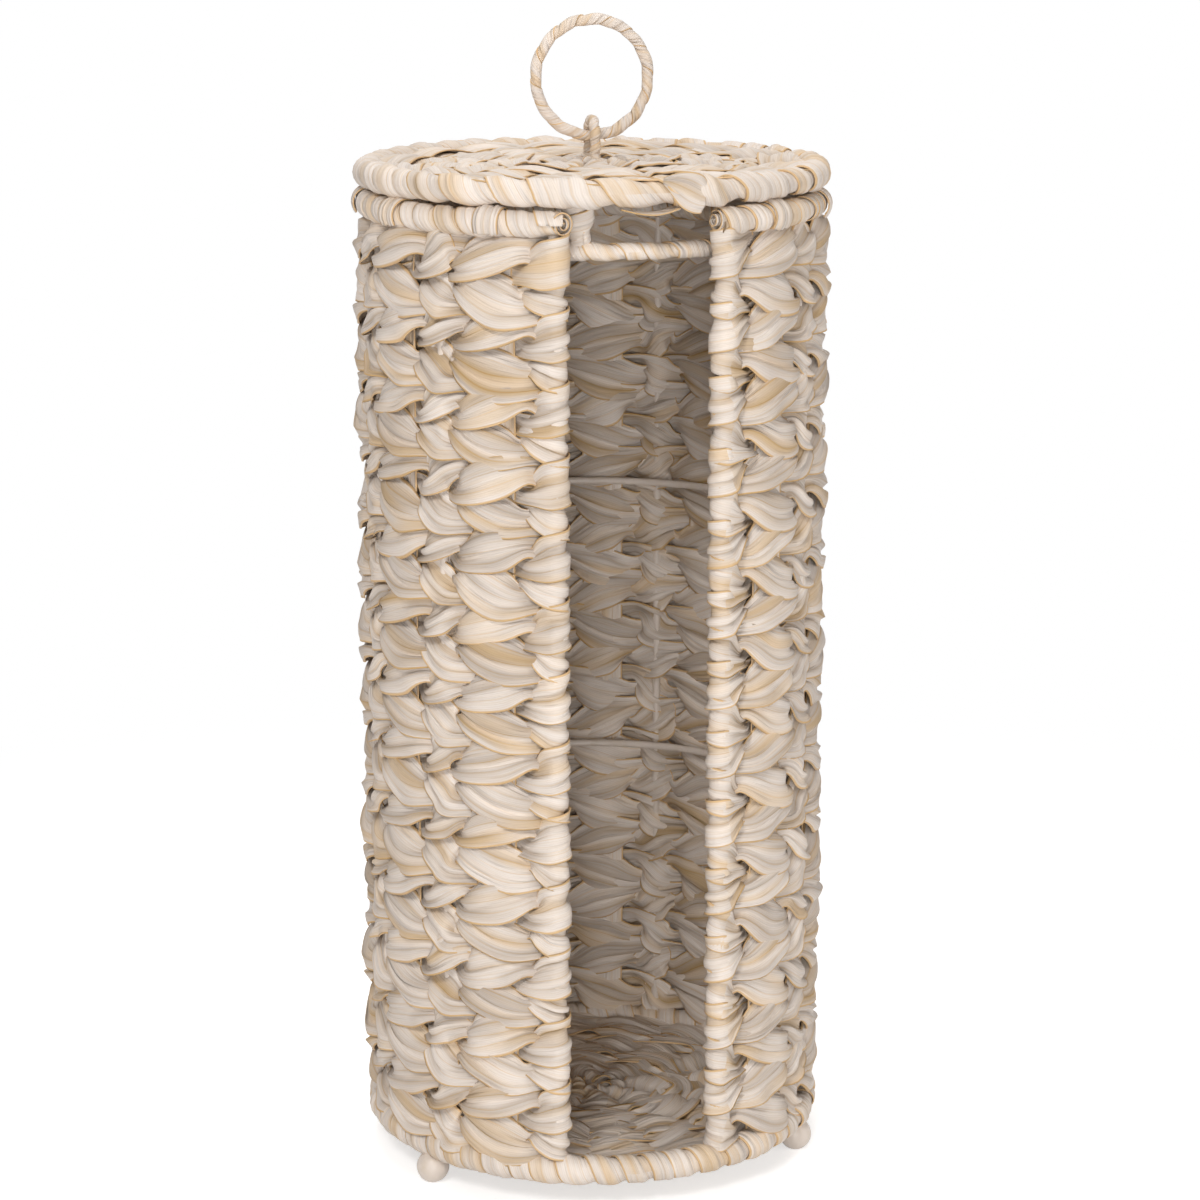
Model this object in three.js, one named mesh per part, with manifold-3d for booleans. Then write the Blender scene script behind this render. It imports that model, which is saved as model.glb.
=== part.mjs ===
// Toilet paper basket: a welded steel wire frame, twined all over with flat plant-fibre strip,
// with an open slot down the front and a lift-off lid that carries a folding ring handle.
// Millimetres, +Z up. The origin is on the floor under the centre, and the slot faces -Y.

import * as THREE from 'three';
import { mergeVertices } from 'three/addons/utils/BufferGeometryUtils.js';
import Module from 'manifold-3d';

const wasm = await Module();
wasm.setup();

// Driving dimensions
const outerRadius = 82.5; // over the weave
const innerRadius = 72.4; // inside the weave
const rimRadius = 77; // centre line of the three rim wires
const stakeRadius = 76.2; // circle on which the upright stakes stand
const slotHalfAngle = THREE.MathUtils.degToRad(22.2); // from the slot's middle to a post wire
const gap = 0.3; // left between pieces that touch

const baseRimHeight = 14; // centre of the base rim above the floor
const topRimHeight = 341;
const lidRimHeight = 351.3;
const lowerHoopHeight = 126.5;
const upperHoopHeight = 228.5;

const rimWire = 1.9; // wire radii
const postWire = 1.9;
const stakeWire = 1.5;
const hoopWire = 1.35;
const spokeWire = 1.4;
const connectorWire = 1.2;
const locatingWire = 1.4;
const handleWire = 1.4;
const stapleWire = 1.2;

const baseRoll = 5.3; // radii over the strip that is wound round each wire
const topRoll = 4.75;
const lidRoll = 5.2;
const postRoll = 5.4;
const locatingRoll = 3.1;
const connectorRoll = 2.6;
const handleRoll = 2.4;
const stapleRoll = 2.2;

const windingDip = 0.13; // how far a roll dips between two turns, as a share of its radius
const topWindingReach = 3.4; // how far the top rim's winding runs past a post's centre line

const stripWidth = 16;
const stripThickness = 0.8;
const wrapPitch = 15; // one turn of strip along a rim
const stakeCount = 19; // uprights between the two posts, ribbon and wire in turn
const rowCount = 26; // twined rows in the wall
const leafDrop = 14; // how far a strand falls or climbs over one stake
const wireShare = 0.355; // of the stakes' pitch, from a wire to the crossing beside it
const rowRelief = 3; // depth of the furrow between two rows
const crossingRelief = 1.9; // depth of the dip where two strands cross
const leafRelief = 0.3; // how much lower a leaf's shoulders are than its back
const postRelief = 0.9; // depth of the furrow between two rows on a post

const hoopRadius = 70.5;
const locatingRadius = 66; // the lid's lower ring, which drops inside the basket
const locatingHeight = 331;
const connectorCount = 4;
const connectorTurn = THREE.MathUtils.degToRad(-16.5);
const connectorTopRadius = 70.8; // where a connector bends down from the lid rim
const connectorTopHeight = 347;

const spokeCount = 8;
const panelRows = 5;
const panelCentre = 5; // radius inside the first row of a twined disc
const panelSkew = 0.24; // how far a leaf's two ends shift apart, as a share of the row's pitch
const panelFurrow = 1.7; // depth of the furrow between two rows of a disc
const panelDip = 0.9; // depth of the dip between two leaves of a disc
const panelEdge = 1.6; // how much thinner a disc is at its edge
const lidPanelTop = 355.4; // at the panel's edge
const lidPanelBottom = 347.6;
const lidDome = 2.2;
const basePanelTop = 18.6;
const basePanelBottom = 10.4;

const handleRadius = 19.8; // centre line of the ring
const handlePivotHeight = 363.3;
const stapleReach = 5.2; // from the pivot to the staple's own centre line
const handleSeam = 0.6; // where the ring's winding starts and ends

const footRadius = 5.8;
const footFlat = 0.5; // cut off the ball where it stands
const footTurns = [-60, 60, 180].map(THREE.MathUtils.degToRad);

const wallBottom = baseRimHeight + baseRoll + gap;
const wallTop = topRimHeight - topRoll - gap;
const rowPitch = (wallTop - wallBottom) / rowCount;
const stakePitch = (2 * Math.PI - 2 * slotHalfAngle) / (stakeCount + 1);

// Materials
const strip = new THREE.MeshStandardMaterial({ color: 0xe3d9cc, roughness: 0.62, metalness: 0 });
const stripShade = new THREE.MeshStandardMaterial({ color: 0xdccbb0, roughness: 0.65, metalness: 0 });
const paintedWire = new THREE.MeshStandardMaterial({ color: 0xddd2b8, roughness: 0.42, metalness: 0.1 });

const basket = new THREE.Group();
const lid = new THREE.Group();
const handle = new THREE.Group();

// A point at a radius, a turn from the slot's middle towards +X, and a height
function around(radius, turn, height) {
  return new THREE.Vector3(radius * Math.sin(turn), -radius * Math.cos(turn), height);
}

// Solids for joining and cutting
function toSolid(geometry) {
  const bare = geometry.clone();
  bare.deleteAttribute('normal');
  bare.deleteAttribute('uv');
  const merged = mergeVertices(bare, 1e-4);
  return new wasm.Manifold(new wasm.Mesh({
    numProp: 3,
    vertProperties: new Float32Array(merged.attributes.position.array),
    triVerts: new Uint32Array(merged.index.array),
  }));
}

function toGeometry(solid) {
  const mesh = solid.getMesh();
  const geometry = new THREE.BufferGeometry();
  geometry.setAttribute('position', new THREE.BufferAttribute(mesh.vertProperties, 3));
  geometry.setIndex(new THREE.BufferAttribute(mesh.triVerts, 1));
  geometry.computeVertexNormals();
  return geometry;
}

function cut(geometry, tools) {
  return toGeometry(tools.reduce((solid, tool) => solid.subtract(toSolid(tool)), toSolid(geometry)));
}

function join(geometries) {
  const solids = geometries.map(toSolid);
  return toGeometry(solids.reduce((all, solid) => all.add(solid)));
}

function addMesh(group, name, geometry, material) {
  const mesh = new THREE.Mesh(geometry, material.clone());
  mesh.name = name;
  group.add(mesh);
}

// Skins a row of rings, each an array of points that runs anticlockwise seen from the row's end.
// Each facet of four corners is split along its shorter diagonal.
function loft(rings, closed) {
  const sides = rings[0].length;
  const points = rings.flat();
  const index = [];
  const last = closed ? rings.length : rings.length - 1;
  for (let ring = 0; ring < last; ring++) {
    const here = ring * sides;
    const next = ((ring + 1) % rings.length) * sides;
    for (let side = 0; side < sides; side++) {
      const after = (side + 1) % sides;
      const corners = [here + side, here + after, next + after, next + side];
      const [a, b, c, d] = corners.map((corner) => points[corner]);
      if (a.distanceTo(c) > b.distanceTo(d)) corners.push(corners.shift());
      index.push(corners[0], corners[1], corners[2]);
      index.push(corners[0], corners[2], corners[3]);
    }
  }
  if (!closed) {
    const end = (rings.length - 1) * sides;
    for (let side = 1; side < sides - 1; side++) {
      index.push(0, side + 1, side);
      index.push(end, end + side, end + side + 1);
    }
  }
  const geometry = new THREE.BufferGeometry();
  const positions = points.flatMap((point) => point.toArray());
  geometry.setAttribute('position', new THREE.Float32BufferAttribute(positions, 3));
  geometry.setIndex(index);
  return geometry;
}

// A round bar along a curve
function bar(curve, radius, steps, sides = 6) {
  const section = new THREE.Shape();
  for (let side = 0; side < sides; side++) {
    const angle = (2 * Math.PI * side) / sides;
    const point = new THREE.Vector2(radius * Math.cos(angle), radius * Math.sin(angle));
    if (side === 0) section.moveTo(point.x, point.y);
    else section.lineTo(point.x, point.y);
  }
  section.closePath();
  return new THREE.ExtrudeGeometry(section, { steps, bevelEnabled: false, extrudePath: curve });
}

function straightBar(from, to, radius, sides = 6) {
  return bar(new THREE.LineCurve3(from, to), radius, 1, sides);
}

function levelRing(radius, height, tube, sides = 5, segments = 20) {
  return new THREE.TorusGeometry(radius, tube, sides, segments).translate(0, 0, height);
}

// A round bar bent in one plane, mitred at each corner. place(out, up, aside) sets a point of it.
function bentBar(corners, place, radius, sides = 6) {
  const rings = corners.map((corner, i) => {
    const before = corner.clone().sub(corners[Math.max(i - 1, 0)]).normalize();
    const after = corners[Math.min(i + 1, corners.length - 1)].clone().sub(corner).normalize();
    const along = before.clone().add(after).normalize();
    const mitre = radius / Math.max(along.dot(i === 0 ? after : before), 0.5);
    return Array.from({ length: sides }, (_, side) => {
      const angle = (2 * Math.PI * (side + 0.5)) / sides;
      const across = mitre * Math.cos(angle);
      return place(corner.x - along.y * across, corner.y + along.x * across, radius * Math.sin(angle));
    });
  });
  return loft(rings, false);
}

// What the slot takes away: a wedge from the axis out through the front
function slotWedge(halfAngle, bottom, top) {
  const far = 120;
  const wedge = new THREE.Shape([
    new THREE.Vector2(0, 0),
    new THREE.Vector2(-far * Math.tan(halfAngle), -far),
    new THREE.Vector2(far * Math.tan(halfAngle), -far),
  ]);
  const depth = top - bottom;
  return new THREE.ExtrudeGeometry(wedge, { depth, bevelEnabled: false }).translate(0, 0, bottom);
}

// A level ring of wire that stops at the two posts
function openRing(radius, height, tube) {
  const ring = levelRing(radius, height, tube);
  return cut(ring, [slotWedge(slotHalfAngle, height - 2 * tube, height + 2 * tube)]);
}

// Strip wound round a wire: the roll swells and dips once for each turn of the strip.
// place(share, across, aside) gives a point beside the wire, and turns with the path's direction.
function windingRings(place, roll, turns, ringsPerTurn, sides, closed) {
  const ringCount = Math.round(turns * ringsPerTurn) + (closed ? 0 : 1);
  const spans = closed ? ringCount : ringCount - 1;
  const dip = roll * windingDip;
  return Array.from({ length: ringCount }, (_, ring) => {
    const share = ring / spans;
    return Array.from({ length: sides }, (_, side) => {
      const angle = (2 * Math.PI * side) / sides;
      const phase = 2 * Math.PI * share * turns + angle;
      const radius = roll - dip * (0.5 - 0.5 * Math.cos(phase));
      return place(share, radius * Math.cos(angle), radius * Math.sin(angle));
    });
  });
}

function rimWinding(radius, height, roll, from, to, closed) {
  const turns = Math.round((Math.abs(to - from) * radius) / wrapPitch);
  const place = (share, across, aside) =>
    around(radius + across, from + (to - from) * share, height - aside);
  return loft(windingRings(place, roll, turns, 2, 6, closed), closed);
}

// The uprights: a post at each side of the slot, then ribbon and wire in turn round the back
const stakes = Array.from({ length: stakeCount }, (_, i) => ({
  turn: slotHalfAngle + stakePitch * (i + 1),
  ribbon: i % 2 === 0,
}));
const postTurns = { right: slotHalfAngle, left: -slotHalfAngle };

function ribbonBox(turn, bottom, top, spare) {
  const width = stripWidth + 2 * spare;
  const thickness = stripThickness + 2 * spare;
  const place = around(stakeRadius, turn, (bottom + top) / 2);
  return new THREE.BoxGeometry(width, thickness, top - bottom).rotateZ(turn).translate(...place);
}

function uprightBar(turn, radius, bottom, top) {
  return straightBar(around(stakeRadius, turn, bottom), around(stakeRadius, turn, top), radius);
}

function postTools(bottom, top) {
  return Object.values(postTurns).map((turn) => uprightBar(turn, postWire + gap, bottom, top));
}

function addUprights() {
  const postBottom = baseRimHeight + rimWire + gap;
  const postTop = topRimHeight - rimWire - gap;
  for (const [side, turn] of Object.entries(postTurns)) {
    addMesh(basket, `${side}_post_wire`, uprightBar(turn, postWire, postBottom, postTop), paintedWire);
  }
  let ribbons = 0;
  let wires = 0;
  for (const stake of stakes) {
    if (stake.ribbon) {
      const ribbon = ribbonBox(stake.turn, wallBottom, wallTop, 0);
      addMesh(basket, `stake_ribbon_${++ribbons}`, ribbon, stripShade);
    } else {
      const wire = uprightBar(stake.turn, stakeWire, wallBottom, wallTop);
      addMesh(basket, `stake_wire_${++wires}`, wire, paintedWire);
    }
  }
}

// The two hoops that brace the uprights, from post to post round the back
function addHoops() {
  addMesh(basket, 'upper_hoop_wire', openRing(hoopRadius, upperHoopHeight, hoopWire), paintedWire);
  addMesh(basket, 'lower_hoop_wire', openRing(hoopRadius, lowerHoopHeight, hoopWire), paintedWire);
}

// Columns of the wall's skin: across a ribbon the leaf is long, across a wire it is short.
// lean is how far along its slope the leaf is there, from its head at -1 to its tail at 1.
function wallColumns() {
  const half = (1 - wireShare) * stakePitch;
  const columns = [];
  for (const { turn, ribbon } of stakes) {
    if (ribbon) {
      columns.push({ turn: turn - half, lean: 0, dip: crossingRelief });
      columns.push({ turn: turn - half / 2, lean: -0.5, dip: leafRelief });
      columns.push({ turn: turn + half / 2, lean: 0.5, dip: leafRelief });
      columns.push({ turn: turn + half, lean: 0, dip: crossingRelief });
    } else {
      columns.push({ turn, lean: 0, dip: leafRelief });
    }
  }
  columns.push({ turn: 2 * Math.PI, lean: 0, dip: 0 });
  return columns;
}

// The twined skin: each row has a crest, whose leaves slope one way in one row and the other way
// in the next, and a furrow runs between two rows
function twinedCylinder() {
  const columns = wallColumns();
  const rings = [];
  for (let line = 0; line <= 2 * rowCount; line++) {
    const height = wallBottom + (rowPitch * line) / 2;
    const crest = line % 2 === 1;
    const slope = line % 4 === 1 ? 1 : -1;
    rings.push(columns.map((column) => {
      const climb = crest ? (slope * column.lean * leafDrop) / 2 : 0;
      const radius = outerRadius - (crest ? column.dip : rowRelief);
      return around(radius, column.turn, height + climb);
    }));
  }
  return loft(rings, false);
}

// Each pair of rows turns round the post and back into the wall
function postWinding(turn) {
  const sides = 7;
  const rings = [];
  for (let row = 0; row <= rowCount; row++) {
    const radius = row % 2 === 1 ? postRoll : postRoll - postRelief;
    const centre = around(stakeRadius, turn, wallBottom + rowPitch * row);
    rings.push(Array.from({ length: sides }, (_, side) => {
      const angle = (2 * Math.PI * side) / sides;
      return centre.clone().add(new THREE.Vector3(radius * Math.cos(angle), radius * Math.sin(angle), 0));
    }));
  }
  return loft(rings, false);
}

function addWall() {
  const bore = new THREE.CylinderGeometry(innerRadius, innerRadius, wallTop - wallBottom + 2, 40)
    .rotateX(Math.PI / 2)
    .translate(0, 0, (wallTop + wallBottom) / 2);
  const shell = cut(twinedCylinder(), [bore, slotWedge(slotHalfAngle, wallBottom - 1, wallTop + 1)]);
  const wall = join([shell, postWinding(postTurns.left), postWinding(postTurns.right)]);
  const ribbonTools = stakes.filter((each) => each.ribbon)
    .map((each) => ribbonBox(each.turn, wallBottom - 1, wallTop + 1, gap));
  const hoopTools = [lowerHoopHeight, upperHoopHeight]
    .map((height) => levelRing(hoopRadius, height, hoopWire + gap));
  const wireTools = stakes.filter((each) => !each.ribbon)
    .map((each) => uprightBar(each.turn, stakeWire + gap, wallBottom - 1, wallTop + 1));
  const tools = [...postTools(wallBottom - 1, wallTop + 1), ...wireTools, ...ribbonTools, ...hoopTools];
  addMesh(basket, 'wall_weave', cut(wall, tools), strip);
}

// Spokes from rim to rim, welded where they cross
function spokes(height, radius, reach) {
  const bars = [];
  for (let spoke = 0; spoke < spokeCount / 2; spoke++) {
    const turn = (2 * Math.PI * spoke) / spokeCount;
    bars.push(straightBar(around(reach, turn, height), around(reach, turn + Math.PI, height), radius));
  }
  return join(bars);
}

// A twined disc between flat faces: rows run round it, and leaves lean one way, then the other
function twinedDisc(radius, bottom, top, dome, columnCount) {
  const pitch = (radius - panelCentre) / panelRows;
  const surface = (distance) => top + dome * (1 - (distance / radius) ** 2);
  const columnTurn = (column) => (2 * Math.PI * column) / columnCount;
  const rings = [];
  for (let line = 0; line <= 2 * panelRows; line++) {
    const distance = panelCentre + (pitch * line) / 2;
    const crest = line % 2 === 1;
    const slope = line % 4 === 1 ? 1 : -1;
    rings.push(Array.from({ length: columnCount }, (_, column) => {
      const lean = column % 2 === 0 ? panelSkew : -panelSkew;
      const shift = crest ? slope * lean * pitch : 0;
      const edge = line === 2 * panelRows ? panelEdge : 0;
      const leafDip = column % 4 < 2 ? 0 : panelDip;
      const dip = crest ? leafDip : panelFurrow;
      return around(distance + shift, columnTurn(column), surface(distance) - dip - edge);
    }));
  }
  const underside = [[radius, bottom + panelEdge], [radius - pitch / 3, bottom], [panelCentre, bottom]];
  for (const [distance, height] of underside) {
    rings.push(Array.from({ length: columnCount }, (_, column) =>
      around(distance, columnTurn(column), height)));
  }
  return loft(rings.reverse(), false);
}

function addBase() {
  const discRadius = rimRadius - baseRoll - gap;
  const disc = twinedDisc(discRadius, basePanelBottom, basePanelTop, 0, 16);
  addMesh(basket, 'base_spoke_wires', spokes(baseRimHeight, spokeWire, discRadius), paintedWire);
  addMesh(basket, 'base_weave', cut(disc, [spokes(baseRimHeight, spokeWire + gap, rimRadius)]), strip);
  addMesh(basket, 'base_rim_wire', levelRing(rimRadius, baseRimHeight, rimWire), paintedWire);
  const winding = rimWinding(rimRadius, baseRimHeight, baseRoll, 0, 2 * Math.PI, true);
  const tools = [
    levelRing(rimRadius, baseRimHeight, rimWire + gap),
    ...postTools(baseRimHeight, wallBottom),
    ...footTurns.map((turn) => footStem(turn, rimWire + gap, baseRimHeight)),
  ];
  addMesh(basket, 'base_rim_wrap', cut(winding, tools), strip);
}

function addTopRim() {
  const endTurn = slotHalfAngle - topWindingReach / rimRadius;
  const winding = rimWinding(rimRadius, topRimHeight, topRoll, endTurn, 2 * Math.PI - endTurn, false);
  const bore = levelRing(rimRadius, topRimHeight, rimWire + gap);
  addMesh(basket, 'top_rim_wire', openRing(rimRadius, topRimHeight, rimWire), paintedWire);
  addMesh(basket, 'top_rim_wrap', cut(winding, [bore, ...postTools(wallTop, topRimHeight)]), strip);
}

// Ball feet on short stems, which end under the base rim wire
const footCentre = footRadius - footFlat;

function footStem(turn, radius, top) {
  return straightBar(around(rimRadius, turn, footCentre), around(rimRadius, turn, top), radius);
}

function addFeet() {
  const names = ['front_left', 'front_right', 'back'];
  const ground = 4 * footRadius;
  footTurns.forEach((turn, i) => {
    const ball = new THREE.SphereGeometry(footRadius, 10, 7)
      .rotateX(Math.PI / 2)
      .translate(...around(rimRadius, turn, footCentre));
    const floor = new THREE.BoxGeometry(ground, ground, ground)
      .translate(...around(rimRadius, turn, -ground / 2));
    const seat = levelRing(rimRadius, baseRimHeight, baseRoll + gap, 10, 40);
    const stem = footStem(turn, rimWire, baseRimHeight - rimWire - gap);
    addMesh(basket, `foot_${names[i]}`, join([cut(ball, [floor, seat]), stem]), paintedWire);
  });
}

// The lid: a twined disc in a wound rim, over a smaller ring that drops inside the basket
const connectorTurns = Array.from({ length: connectorCount }, (_, i) =>
  connectorTurn + (2 * Math.PI * i) / connectorCount);

// From the rim wire in and down to the lower ring's wire, each end set back from that wire's surface
function connectorBar(turn, radius, setBack) {
  const rim = new THREE.Vector2(rimRadius, lidRimHeight);
  const bend = new THREE.Vector2(connectorTopRadius, connectorTopHeight);
  const lower = new THREE.Vector2(locatingRadius, locatingHeight);
  const corners = [
    rim.lerp(bend, (setBack + rimWire) / rim.distanceTo(bend)),
    bend,
    lower.lerp(bend, (setBack + locatingWire) / lower.distanceTo(bend)),
  ];
  const place = (out, up, aside) => around(out, turn, up).add(around(aside, turn - Math.PI / 2, 0));
  return bentBar(corners, place, radius);
}

// The bore that a connector's wire runs in, a little longer than the wire
function connectorBore(turn) {
  return connectorBar(turn, connectorWire + gap, -2 * gap);
}

function connectorWinding(turn) {
  const from = around(connectorTopRadius, turn, connectorTopHeight);
  const to = around(locatingRadius, turn, locatingHeight);
  const rollTool = levelRing(rimRadius, lidRimHeight, lidRoll + gap, 8, 40);
  const ringTool = levelRing(locatingRadius, locatingHeight, locatingRoll + gap, 8, 40);
  const block = 20;
  const panelTool = new THREE.BoxGeometry(block, block, block)
    .translate(...around(connectorTopRadius, turn, lidPanelBottom - gap + block / 2));
  const tools = [rollTool, ringTool, panelTool, connectorBore(turn)];
  return cut(straightBar(from, to, connectorRoll), tools);
}

function addLidRim() {
  addMesh(lid, 'lid_rim_wire', levelRing(rimRadius, lidRimHeight, rimWire), paintedWire);
  const winding = rimWinding(rimRadius, lidRimHeight, lidRoll, 0, 2 * Math.PI, true);
  const tools = [levelRing(rimRadius, lidRimHeight, rimWire + gap), ...connectorTurns.map(connectorBore)];
  addMesh(lid, 'lid_rim_wrap', cut(winding, tools), strip);
}

function addLidPanel() {
  const discRadius = rimRadius - lidRoll - gap;
  const disc = twinedDisc(discRadius, lidPanelBottom, lidPanelTop, lidDome, 24);
  addMesh(lid, 'lid_spoke_wires', spokes(lidRimHeight, spokeWire, discRadius), paintedWire);
  const tools = [
    spokes(lidRimHeight, spokeWire + gap, rimRadius),
    ...connectorTurns.map(connectorBore),
    ...[-1, 1].map((side) => stapleLeg(side, stapleRoll + gap)),
  ];
  addMesh(lid, 'lid_weave', cut(disc, tools), strip);
}

function addLocatingRing() {
  addMesh(lid, 'locating_ring_wire', levelRing(locatingRadius, locatingHeight, locatingWire), paintedWire);
  const winding = rimWinding(locatingRadius, locatingHeight, locatingRoll, 0, 2 * Math.PI, true);
  const tools = [
    levelRing(locatingRadius, locatingHeight, locatingWire + gap),
    ...connectorTurns.map(connectorBore),
  ];
  addMesh(lid, 'locating_ring_wrap', cut(winding, tools), strip);
}

function addConnectors() {
  connectorTurns.forEach((turn, i) => {
    addMesh(lid, `connector_wire_${i + 1}`, connectorBar(turn, connectorWire, gap), paintedWire);
    addMesh(lid, `connector_wrap_${i + 1}`, connectorWinding(turn), strip);
  });
}

// The staple that the handle's ring hangs in: two legs and a half round, across the ring
function stapleLeg(side, radius) {
  const foot = new THREE.Vector3(0, side * stapleReach, lidRimHeight);
  return straightBar(foot, foot.clone().setZ(handlePivotHeight), radius, 8);
}

function stapleBar(bottom, radius) {
  const corners = [new THREE.Vector2(stapleReach, bottom)];
  for (let step = 0; step <= 6; step++) {
    const angle = (Math.PI * step) / 6;
    const up = handlePivotHeight + stapleReach * Math.sin(angle);
    corners.push(new THREE.Vector2(stapleReach * Math.cos(angle), up));
  }
  corners.push(new THREE.Vector2(-stapleReach, bottom));
  return bentBar(corners, (out, up, aside) => new THREE.Vector3(aside, out, up), radius);
}

function addStaple() {
  const foot = lidRimHeight + spokeWire + gap;
  addMesh(lid, 'handle_staple_wire', stapleBar(foot, stapleWire), paintedWire);
  const winding = cut(stapleBar(foot, stapleRoll), [stapleBar(foot - 1, stapleWire + gap)]);
  addMesh(lid, 'handle_staple_wrap', winding, strip);
}

// The ring handle stands in the staple and folds flat to either side
function addHandleRing() {
  const centre = handlePivotHeight + handleRadius;
  const uprightRing = (tube) => new THREE.TorusGeometry(handleRadius, tube, 5, 24)
    .rotateX(Math.PI / 2)
    .translate(0, 0, centre);
  addMesh(handle, 'handle_ring_wire', uprightRing(handleWire), paintedWire);
  const seam = handleSeam / 2 / handleRadius;
  const place = (share, across, aside) => {
    const angle = -Math.PI / 2 + seam + (2 * Math.PI - 2 * seam) * share;
    const radius = handleRadius + across;
    return new THREE.Vector3(radius * Math.cos(angle), aside, centre + radius * Math.sin(angle));
  };
  const winding = loft(windingRings(place, handleRoll, 10, 3, 6, false), false);
  addMesh(handle, 'handle_ring_wrap', cut(winding, [uprightRing(handleWire + gap)]), strip);
}

addUprights();
addHoops();
addTopRim();
addWall();
addBase();
addFeet();
addLidRim();
addLidPanel();
addLocatingRing();
addConnectors();
addStaple();
addHandleRing();

lid.add(handle);
basket.add(lid);

export default basket;
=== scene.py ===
import bpy
import math
import numpy as np
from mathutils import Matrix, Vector


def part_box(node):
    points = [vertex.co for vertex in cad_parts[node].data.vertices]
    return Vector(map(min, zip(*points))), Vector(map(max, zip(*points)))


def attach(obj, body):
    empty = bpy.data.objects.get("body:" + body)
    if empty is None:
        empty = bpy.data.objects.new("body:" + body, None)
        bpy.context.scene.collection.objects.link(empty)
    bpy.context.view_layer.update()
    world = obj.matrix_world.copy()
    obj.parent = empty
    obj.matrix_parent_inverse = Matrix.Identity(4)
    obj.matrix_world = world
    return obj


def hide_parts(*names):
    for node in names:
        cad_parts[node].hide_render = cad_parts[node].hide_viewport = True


# Toilet paper basket: flat paper-fibre strip twined over a painted wire frame, with a lift-off lid
# and a folding ring handle. Lengths in the dictionaries are millimetres and turns are degrees.

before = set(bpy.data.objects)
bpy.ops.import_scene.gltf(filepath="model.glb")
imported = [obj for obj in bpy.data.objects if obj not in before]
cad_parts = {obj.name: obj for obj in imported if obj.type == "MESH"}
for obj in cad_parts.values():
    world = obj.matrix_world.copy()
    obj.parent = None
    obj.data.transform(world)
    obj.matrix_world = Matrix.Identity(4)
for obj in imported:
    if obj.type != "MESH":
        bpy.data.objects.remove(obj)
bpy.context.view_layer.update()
bpy.ops.object.select_all(action="DESELECT")
print("frame loaded:", len(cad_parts), "nodes")

mm = 0.001
basket = {
    "rimRadius": 77,        # centre line of the three rims
    "stakeRadius": 76.2,    # circle on which the uprights stand
    "slotHalfTurn": 22.2,   # from the middle of the slot to a post
    "stakes": 19,           # uprights between the posts, ribbon and wire in turn
    "rimPastPost": 2.6,     # the top rim's strip ends this turn beyond a post, towards the slot
    "locatingWire": 1.3,    # radius of the locating ring's wire
    "stripThick": 0.45,
}
stakeTurn = (360 - 2 * basket["slotHalfTurn"]) / (basket["stakes"] + 1)


# helpers
def nodeHeights(name):
    low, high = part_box(name)
    return low.z / mm, high.z / mm


def nodeMiddle(name):
    low, high = nodeHeights(name)
    return (low + high) / 2


def around(radius, turn, height):    # arrays or numbers, turn in radians from the slot towards +X
    radius, turn, height = np.broadcast_arrays(radius, turn, height)
    return np.stack([radius * np.sin(turn), -radius * np.cos(turn), height], axis=-1)


def unit(vectors):
    return vectors / np.linalg.norm(vectors, axis=-1, keepdims=True)


def soften(values, passes, closed=True):
    for _ in range(passes):
        before, after = np.roll(values, 1, axis=0), np.roll(values, -1, axis=0)
        if not closed:
            before[0], after[-1] = values[0], values[-1]
        values = (before + 2 * values + after) / 4
    return values


def hexColour(code):
    channels = [int(code[i:i + 2], 16) / 255 for i in (1, 3, 5)]
    return (*[c / 12.92 if c <= 0.04045 else ((c + 0.055) / 1.055) ** 2.4 for c in channels], 1)


def smoothStep(values, low, high):
    share = np.clip((values - low) / (high - low), 0, 1)
    return share * share * (3 - 2 * share)


# shader nodes: each of these makes one and hands back its output
def addNode(tree, kind, inputs=None, **settings):    # an input is a value, or another node's output
    node = tree.nodes.new("ShaderNode" + kind)
    for key, value in settings.items():
        setattr(node, key, value)
    for key, value in (inputs or {}).items():
        if isinstance(value, bpy.types.NodeSocket):
            tree.links.new(value, node.inputs[key])
        else:
            node.inputs[key].default_value = value
    return node.outputs


def maths(tree, operation, *values, clamp=False):
    return addNode(tree, "Math", dict(enumerate(values)), operation=operation, use_clamp=clamp)[0]


def mapRange(tree, value, fromLow, fromHigh, toLow=0, toHigh=1, curve="LINEAR"):
    places = {0: value, 1: fromLow, 2: fromHigh, 3: toLow, 4: toHigh}
    return addNode(tree, "MapRange", places, interpolation_type=curve)[0]


def mixColours(tree, share, first, second):
    return addNode(tree, "Mix", {0: share, 6: first, 7: second}, data_type="RGBA")[2]


def stretchedNoise(tree, place, stretch, detail, roughness=0.5):
    mapped = addNode(tree, "Mapping", {0: place, "Scale": (*stretch, 1)})[0]
    return addNode(tree, "TexNoise", {0: mapped, "Scale": 1, "Detail": detail, "Roughness": roughness})[0]


def newMaterial(name):
    material = bpy.data.materials.new(name)
    material.use_nodes = True
    tree = material.node_tree
    tree.nodes.clear()
    return material, tree


# materials
paperStrip = {
    "pale": "#E8DED5",
    "tan": "#DCBC8E",
    "selvedge": "#DAB88A",
    # painted shade for the grooves between the ribs
    "grooveShade": "#B8A088",
    "ribs": 26,                  # lengthwise ribs across the strip, a little over their real pitch
    "roughness": 0.55,
    "bands": (16, 2.6),          # how closely a pattern repeats: in a metre along, and across the strip
    "streaks": (40, 17),
    "creases": (28, 4.5),
    "fibres": (160, 60),
    "edgeAt": (0.45, 0.472),     # where the bound edge starts, from the middle, as a share of the width
    "lineEvery": 0.125,          # half the distance between two fold lines, as a share of the width
    "lineFade": (0.002, 0.016),
    "creaseDepth": 2.8,
    "ribDepth": 0.15,
}


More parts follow.
